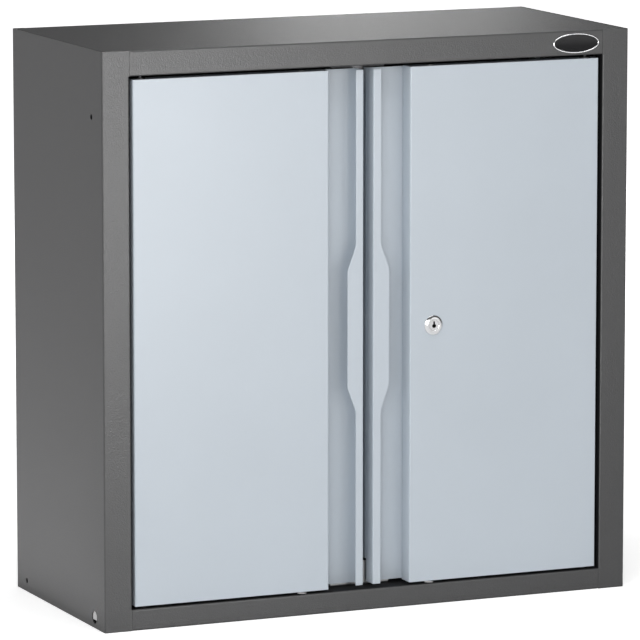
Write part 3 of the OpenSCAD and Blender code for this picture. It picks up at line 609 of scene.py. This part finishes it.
for side, sign in (("left", -1), ("right", 1)):
    for row_name, depth in STRIP_DEPTHS.items():
        node = side + "_" + row_name + "_strip"
        strip = folded(node + "_finished", [
            (sign * STRIP_BACK_X, depth + STRIP_HALF), (sign * STRIP_FACE_X, depth + STRIP_HALF),
            (sign * STRIP_FACE_X, depth - STRIP_HALF), (sign * STRIP_BACK_X, depth - STRIP_HALF)],
            STRIP_FOLD, STRIP_SHEET, STRIP_LOW, STRIP_HIGH, zinc)
        shaped(strip, slot_tree, {"Punch": PUNCH, "Pitch": SLOT_PITCH, "Count": SLOT_COUNT, "Finish": zinc,
                                  "First": (sign * STRIP_FACE_X, FRONT_Y + depth, FIRST_SLOT_Z)})
        clean_faces(strip.data, outward=True)
        fitted(broken_edges(strip, STRIP_BREAK, segments=1), node)

# ---- Shelf clips ---------------------------------------------------------------------------
# Four angles of 1.5 mm sheet, one to a strip, zinc plated like the strips. The hook of each
# drops into a slot of its strip, and the shelf rests on its upper leg.
CLIP_BREAK = 0.0002
finished("shelf_clips", zinc, edge=CLIP_BREAK)

# ---- Shelf ---------------------------------------------------------------------------------
# A tray of folded sheet steel, coated with the body. It isn't fixed, and lifts off the four
# clips that it rests on.
finished("shelf", grey_coat)

# ---- Stop plates ---------------------------------------------------------------------------
# Two angles of 1.5 mm zinc plated sheet behind the meeting edges, a pale one on the floor and one under
# the ledge, its zinc coloured much darker as painted shade. The doors close against the magnets on them.
PALE_ZINC = (0.42, 0.43, 0.44)
# The upper plate's zinc is darkened: painted shade for the shade under the ledge.
PAINTED_SHADE_ZINC = (0.15, 0.15, 0.155)
pale_zinc = plated("pale_zinc", PALE_ZINC, roughness=0.55, cloud_size=0.009)
painted_shade_zinc = plated("painted_shade_zinc", PAINTED_SHADE_ZINC, roughness=0.60, cloud_size=0.009)
finished("lower_stop_plate", pale_zinc)
# The upper plate gets the darkened zinc, painted shade.
finished("upper_stop_plate", painted_shade_zinc)

# ---- Stop plate screws ---------------------------------------------------------------------
# Four zinc plated steel screws with a pan head and a cross recess hold the two angles by
# their feet. Two go down into the floor, and two go up into the ledge.
SCREW_X = 0.028
FOOT_TOP_Z = 0.0281
FLOOR_SCREW_DEPTH = 0.041
HEADER_FOOT_Z = 0.6871
LEDGE_SCREW_DEPTH = 0.049
PAN_CROWN = 0.72
SCREW = {"Shank radius": 0.002, "Shank length": 0.0055, "Head radius": 0.0036, "Head height": 0.0022,
         "Recess width": 0.0009, "Recess reach": 0.0038, "Recess depth": 0.0013}
screw_tree, given, add, end = shape_tree("pan_head_screws", {
    "Shank radius": "Float", "Shank length": "Float", "Head radius": "Float", "Head height": "Float",
    "Recess width": "Float", "Recess reach": "Float", "Recess depth": "Float", "Finish": "Material"})
shank = drawn_shank(add, given["Shank radius"], given["Shank length"])
head = drawn_head(add, given["Head radius"], given["Head height"], PAN_CROWN)
deep = add("ShaderNodeMath", {0: given["Recess depth"], 1: 2.0}, operation="MULTIPLY")
at_top = add("ShaderNodeCombineXYZ", {"Z": given["Head height"]})
driven = head
for across, along in (("Recess reach", "Recess width"), ("Recess width", "Recess reach")):
    size = add("ShaderNodeCombineXYZ", {"X": given[across], "Y": given[along], "Z": deep.outputs[0]})
    arm = add("GeometryNodeMeshCube", {"Size": size.outputs[0]})
    placed = add("GeometryNodeTransform", {"Geometry": arm.outputs["Mesh"], "Translation": at_top.outputs[0]})
    cut = add("GeometryNodeMeshBoolean", {0: driven, 1: placed.outputs[0]}, operation="DIFFERENCE",
              solver="EXACT")
    driven = cut.outputs["Mesh"]
screw = add("GeometryNodeJoinGeometry", {"Geometry": [shank, driven]})
end(on_points(add, given["Geometry"], screw.outputs[0]))

spots = []
for side in (-1, 1):
    spots.append(((side * SCREW_X, FRONT_Y + FLOOR_SCREW_DEPTH, FOOT_TOP_Z), (0.0, 0.0, 1.0)))
    spots.append(((side * SCREW_X, FRONT_Y + LEDGE_SCREW_DEPTH, HEADER_FOOT_Z), (0.0, 0.0, -1.0)))
screws = shaped(marked_points("stop_plate_screws_finished", spots), screw_tree, {**SCREW, "Finish": zinc})
clean_faces(screws.data, outward=True)
fitted(screws, "stop_plate_screws")

# ---- Catch magnets and their cups ----------------------------------------------------------
# Four nickel plated disc magnets, each pressed into a moulded black plastic cup. The cup's stem
# goes through a stop plate and is headed behind it.
BLACK_PLASTIC = (0.022, 0.022, 0.023)
NICKEL = (0.50, 0.51, 0.53)
SPARK_SCALE = 1600.0
CLOUD_SCALE = 90.0


def moulded(name, colour, roughness, grain, ior=PAINT_IOR):
    """Moulded plastic: a fine spark-eroded grain and a slightly uneven gloss."""
    plastic = bpy.data.materials.new(name)
    _, add = shader_tree(plastic)
    place = add("ShaderNodeTexCoord")
    fine = noise(add, place, SPARK_SCALE, detail=2.0)
    cloud = noise(add, place, CLOUD_SCALE, detail=3.0)
    tone = spread(add, cloud, low=0.95, high=1.05)
    gloss = spread(add, fine, roughness - 0.04, roughness + 0.06)
    bump = add("ShaderNodeBump", {"Height": fine.outputs[0], "Strength": grain, "Distance": FINE_DEPTH})
    surface(add, colour, tone, gloss, bump, IOR=ior)
    return plastic


black_plastic = moulded("black_plastic", BLACK_PLASTIC, roughness=0.42, grain=0.3)
finished("magnet_cups", black_plastic)
nickel = plated("nickel", NICKEL, roughness=0.28, cloud_size=0.01)
finished("catch_magnets", nickel)

# ---- Hinge pins ----------------------------------------------------------------------------
# Four turned pins of blackened steel on which the doors turn. Two are riveted into the floor,
# and two with a hexagon head go down through the ledge.
BLACK_STEEL = (0.030, 0.030, 0.032)
PIN_BREAK = 0.0003
black_steel = plated("black_steel", BLACK_STEEL, roughness=0.45, cloud_size=0.006)
for pins in ("lower_hinge_pins", "upper_hinge_pins"):
    finished(pins, black_steel, edge=PIN_BREAK)

# ---- Badge ---------------------------------------------------------------------------------
# A plain oval at the right end of the top rail: a slightly domed gloss black plate in a bright
# rounded rim, glued to the rail.
BLACK_GLOSS = (0.005, 0.005, 0.006)
CHROME = (0.80, 0.80, 0.81)
BADGE_X = 0.2834
BADGE_Z = 0.7043
BADGE_HALF = (0.0305, 0.0110)
BADGE_SIDES = 96
PLATE_RISE = [(1.0, 0.0), (1.0, 0.00055), (0.85, 0.00066), (0.65, 0.00076), (0.45, 0.00084), (0.22, 0.00089)]
RIM_RISE = [(0.0, 0.0), (0.0, 0.0008), (0.00012, 0.00104), (0.00036, 0.00122), (0.00075, 0.0013),
            (0.00114, 0.00122), (0.00138, 0.00104), (0.0015, 0.0008), (0.0015, 0.0)]


def oval_rings(name, rings, closed_loop):
    """A mesh of stacked ovals, each (half width, half height, proud of the rail)."""
    vertices, faces = [], []
    for wide, high, proud in rings:
        for step in range(BADGE_SIDES):
            angle = 2 * math.pi * step / BADGE_SIDES
            vertices.append((BADGE_X + wide * math.cos(angle), FRONT_Y - proud,
                             BADGE_Z + high * math.sin(angle)))
    above = list(range(1, len(rings))) + ([0] if closed_loop else [])
    for lower, upper in zip(range(len(rings)), above):
        for step in range(BADGE_SIDES):
            following = (step + 1) % BADGE_SIDES
            faces.append((lower * BADGE_SIDES + step, lower * BADGE_SIDES + following,
                          upper * BADGE_SIDES + following, upper * BADGE_SIDES + step))
    if not closed_loop:
        faces.append(tuple(range(BADGE_SIDES))[::-1])
        faces.append(tuple(range((len(rings) - 1) * BADGE_SIDES, len(rings) * BADGE_SIDES)))
    made = link_mesh(name, vertices, faces)
    clean_faces(made.data, outward=True)
    return made


black_gloss = moulded("black_gloss", BLACK_GLOSS, roughness=0.20, grain=0.02, ior=1.3)
chrome = plated("chrome", CHROME, roughness=0.11, cloud_size=0.02)
half_wide, half_high = BADGE_HALF
plate_rings = [(half_wide * part, half_high * part, proud) for part, proud in PLATE_RISE]
plate = oval_rings("badge_plate_finished", plate_rings, closed_loop=False)
plate.data.materials.append(black_gloss)
fitted(plate, "badge_plate")
rim_rings = [(half_wide + out, half_high + out, proud) for out, proud in RIM_RISE]
rim = oval_rings("badge_rim_finished", rim_rings, closed_loop=True)
rim.data.materials.append(chrome)
fitted(rim, "badge_rim")

# ---- Door skins ----------------------------------------------------------------------------
# Smooth light blue-grey powder coat over 1 mm sheet. Each skin is folded round its outer edge
# and in again as the wall of the finger channel.
BLUE = (0.537, 0.594, 0.652)
blue_coat = powder_coat("blue_coat", BLUE, roughness=0.42, grain=0.05, grain_size=0.0016, peel=0.10,
                        variation=0.008)
DOOR_BREAK = 0.0002
for side in ("left", "right"):
    finished(side + "_door_skin", blue_coat, edge=DOOR_BREAK)

# ---- Finger channels -----------------------------------------------------------------------
# The channel's floor, the meeting wall and the lip are one folding, welded behind the skin.
# The lip's free edge widens into a bevelled grip at mid height.
DOOR_FOLD = 0.0008
DOOR_SHEET = 0.001
CHANNEL = [(0.0654, 0.0265), (0.0071, 0.0265), (0.0071, 0.0057), (0.0170, 0.0057)]
CHANNEL_LOW = 0.0312
CHANNEL_HIGH = 0.6828
GRIP = {"Grip middle": 0.358, "Grip height": 0.210, "Grip bevel": 0.031}
GRIP_REACH = 0.0114
for side, sign in (("left", -1), ("right", 1)):
    channel = folded(side + "_grip_channel_finished", [(sign * x, depth) for x, depth in CHANNEL],
                     DOOR_FOLD, DOOR_SHEET, CHANNEL_LOW, CHANNEL_HIGH, blue_coat,
                     {**GRIP, "Grip reach": sign * GRIP_REACH})
    fitted(broken_edges(channel, DOOR_BREAK), side + "_grip_channel")

# ---- Meeting flanges -----------------------------------------------------------------------
# An angle of the same sheet, welded behind each channel and coated with it, carries the
# meeting wall further back. Little light then passes between the doors.
FLANGE = [(0.0166, 0.0275), (0.0071, 0.0275), (0.0071, 0.0360)]
FLANGE_LOW = 0.060
for side, sign in (("left", -1), ("right", 1)):
    flange = folded(side + "_meeting_flange_finished", [(sign * x, depth) for x, depth in FLANGE],
                    DOOR_FOLD, DOOR_SHEET, FLANGE_LOW, CHANNEL_HIGH, blue_coat)
    fitted(broken_edges(flange, DOOR_BREAK), side + "_meeting_flange")

# ---- Door backs and their rivets -----------------------------------------------------------
# A flat sheet closes the hollow of each door. Five rivets hold its outer edge, and they are
# coated with the door.
BACK_OF_DOOR = FRONT_Y + 0.028
DOOR_RIVET_X = 0.3082
DOOR_RIVET_LOW = 0.077
DOOR_RIVET_PITCH = 0.140
DOOR_RIVET_COUNT = 5
OUTWARD = (0.0, 1.0, 0.0)
for side, sign in (("left", -1), ("right", 1)):
    finished(side + "_door_back", blue_coat, edge=DOOR_BREAK)
    spots = [((sign * DOOR_RIVET_X, BACK_OF_DOOR, DOOR_RIVET_LOW + DOOR_RIVET_PITCH * step), OUTWARD)
             for step in range(DOOR_RIVET_COUNT)]
    rivets = shaped(marked_points(side + "_door_rivets_finished", spots), rivet_tree,
                    {**RIVET, "Shank length": 2 * DOOR_SHEET, "Finish": blue_coat})
    clean_faces(rivets.data, outward=True)
    fitted(rivets, side + "_door_rivets")

# ---- Door stiffeners -----------------------------------------------------------------------
# A hat channel of zinc plated 1 mm sheet, glued to the skin and spot welded to the back of
# each door, keeps the flat front from drumming.
HAT = [(-0.0300, 0.0265), (-0.0185, 0.0265), (-0.0185, 0.0030), (0.0185, 0.0030), (0.0185, 0.0265),
       (0.0300, 0.0265)]
HAT_X = 0.215
HAT_LOW = 0.038
HAT_HIGH = 0.676
for side, sign in (("left", -1), ("right", 1)):
    hat = folded(side + "_door_stiffener_finished", [(sign * (HAT_X - x), depth) for x, depth in HAT],
                 DOOR_FOLD, DOOR_SHEET, HAT_LOW, HAT_HIGH, zinc)
    fitted(broken_edges(hat, DOOR_BREAK, segments=1), side + "_door_stiffener")

# ---- Hinge brackets and bushes -------------------------------------------------------------
# Zinc plated 2.5 mm angles inside the door's two ends carry flanged black plastic bushes,
# which run on the hinge pins.
BRACKET_BREAK = 0.0003
BUSH_BREAK = 0.0002
for side in ("left", "right"):
    finished(side + "_hinge_brackets", zinc, edge=BRACKET_BREAK)
    finished(side + "_hinge_bushes", black_plastic, edge=BUSH_BREAK)

# ---- Rod guides ----------------------------------------------------------------------------
# Two blocks and two flanged bushes of natural nylon, moulded, in each door. The latch rods
# slide in them.
NYLON = (0.74, 0.74, 0.70)
GUIDE_BREAK = 0.0004
nylon = moulded("nylon", NYLON, roughness=0.38, grain=0.15)
for side in ("left", "right"):
    finished(side + "_rod_guides", nylon, edge=GUIDE_BREAK)

# ---- Latch rods ----------------------------------------------------------------------------
# Zinc plated rods with a slotted yoke welded on. A cam's pins drive one up and one down into
# the holes of the ledge and the floor.
ROD_BREAK = 0.0004
for rod in ("left_upper_rod", "left_lower_rod", "right_upper_rod", "right_lower_rod"):
    finished(rod, zinc, edge=ROD_BREAK)

# ---- Inside turn of the left door ----------------------------------------------------------
# A winged black plastic knob on a spindle turns in a nylon bush in the door's back. Its
# square tail carries the zinc plated cam, held by a screw.
KNOB_BREAK = 0.0008
CAM_BREAK = 0.0003
finished("left_latch_knob", black_plastic, edge=KNOB_BREAK, segments=3)
finished("left_latch_bush", nylon, edge=CAM_BREAK)
finished("left_latch_cam", zinc, edge=CAM_BREAK)
finished("left_cam_screw", zinc, edge=CAM_BREAK)

# ---- Cam lock of the right door ------------------------------------------------------------
# A cast and chromed cam lock: a body with a bevelled head, held by a hexagonal nut behind the
# skin, and a plug that carries the cam. The plug's front is made anew here, with the keyway
# that the photograph shows. Its inside is coloured dark, painted shade for the deep slot.
LOCK_X = 0.0875
LOCK_Z = 0.357
PLUG_FACE_Y = -0.15645
PLUG_FRONT_END_Y = -0.1450
PLUG_SEAM = 0.00005
PLUG_RADIUS = 0.0065
PLUG_SIDES = 96
KEYWAY_END_Y = -0.1463
KEYWAY = (0.0011, -0.0020, 0.0050)
KEYWAY_EYE = (0.0026, -0.0008)
EYE_SIDES = 32
EYE_SHORTER = 0.0003
OVERCUT = 0.001
ROOM = 0.002
ROOM_SIDES = 48
FACE_MARGIN = 0.0002
# Colour of the keyway's inside: painted shade for the deep slot.
KEYWAY_PAINTED_SHADE = (0.035, 0.033, 0.030)
HEAD_BREAK = 0.00045
PLUG_BREAK = 0.0003
NUT_BREAK = 0.0006


def prism(name, outline, near, far):
    """A closed solid between two depths, from an outline of (x, z) about the lock's centre."""
    count = len(outline)
    vertices = [(LOCK_X + x, y, LOCK_Z + z) for y in (near, far) for x, z in outline]
    sides = [(step, (step + 1) % count, count + (step + 1) % count, count + step) for step in range(count)]
    made = link_mesh(name, vertices, sides + [tuple(range(count)), tuple(range(count, 2 * count))])
    edited(made.data, lambda work: bmesh.ops.recalc_face_normals(work, faces=work.faces))
    return made


def circle(radius, rise, count):
    """Points round a circle, (x, z)."""
    angles = [2 * math.pi * step / count for step in range(count)]
    return [(radius * math.cos(angle), rise + radius * math.sin(angle)) for angle in angles]


def combined(made, operation, *others):
    """Adds the other solids to a piece or cuts them from it, and deletes them."""
    for other in others:
        step = made.modifiers.new("combine", "BOOLEAN")
        step.operation = operation
        step.solver = "EXACT"
        step.object = other
    baked(made)
    for other in others:
        bpy.data.objects.remove(other)


finished("lock_body", chrome, edge=HEAD_BREAK, segments=3)
key_half, key_low, key_high = KEYWAY
key_slot = [(key_half, key_low), (key_half, key_high), (-key_half, key_high), (-key_half, key_low)]
before_face = PLUG_FACE_Y - OVERCUT
front = prism("plug_front", circle(PLUG_RADIUS, 0.0, PLUG_SIDES), PLUG_FACE_Y, PLUG_FRONT_END_Y)
combined(front, "DIFFERENCE",
         prism("keyway_slot", key_slot, before_face, KEYWAY_END_Y),
         prism("keyway_eye", circle(*KEYWAY_EYE, EYE_SIDES), before_face, KEYWAY_END_Y - EYE_SHORTER))
clean_faces(front.data)
plug = merged_copy("lock_plug", chrome)
space = prism("plug_front_space", circle(PLUG_RADIUS + ROOM, 0.0, ROOM_SIDES), before_face,
              PLUG_FRONT_END_Y + PLUG_SEAM)
combined(plug, "DIFFERENCE", space)
combined(plug, "UNION", front)
clean_faces(plug.data)
broken_edges(plug, PLUG_BREAK, segments=3)
keyway_painted_shade = plated("keyway_painted_shade", KEYWAY_PAINTED_SHADE, roughness=0.5, cloud_size=0.003)
plug.data.materials.append(keyway_painted_shade)
# Faces deep in the keyway take the dark colour, painted shade.
for face in plug.data.polygons:
    middle = face.center
    inside = math.hypot(middle.x - LOCK_X, middle.z - LOCK_Z) < PLUG_RADIUS - PLUG_BREAK
    if inside and PLUG_FACE_Y + FACE_MARGIN < middle.y < KEYWAY_END_Y:
        face.material_index = 1
fitted(plug, "lock_plug")
finished("lock_nut", zinc, edge=NUT_BREAK, segments=3)
finished("lock_cam", zinc, edge=CAM_BREAK)
finished("lock_cam_screw", zinc, edge=CAM_BREAK)

# ---- Picture settings ----------------------------------------------------------------------
# The plain view transform keeps the colours as lit.
bpy.context.scene.view_settings.view_transform = "Standard"
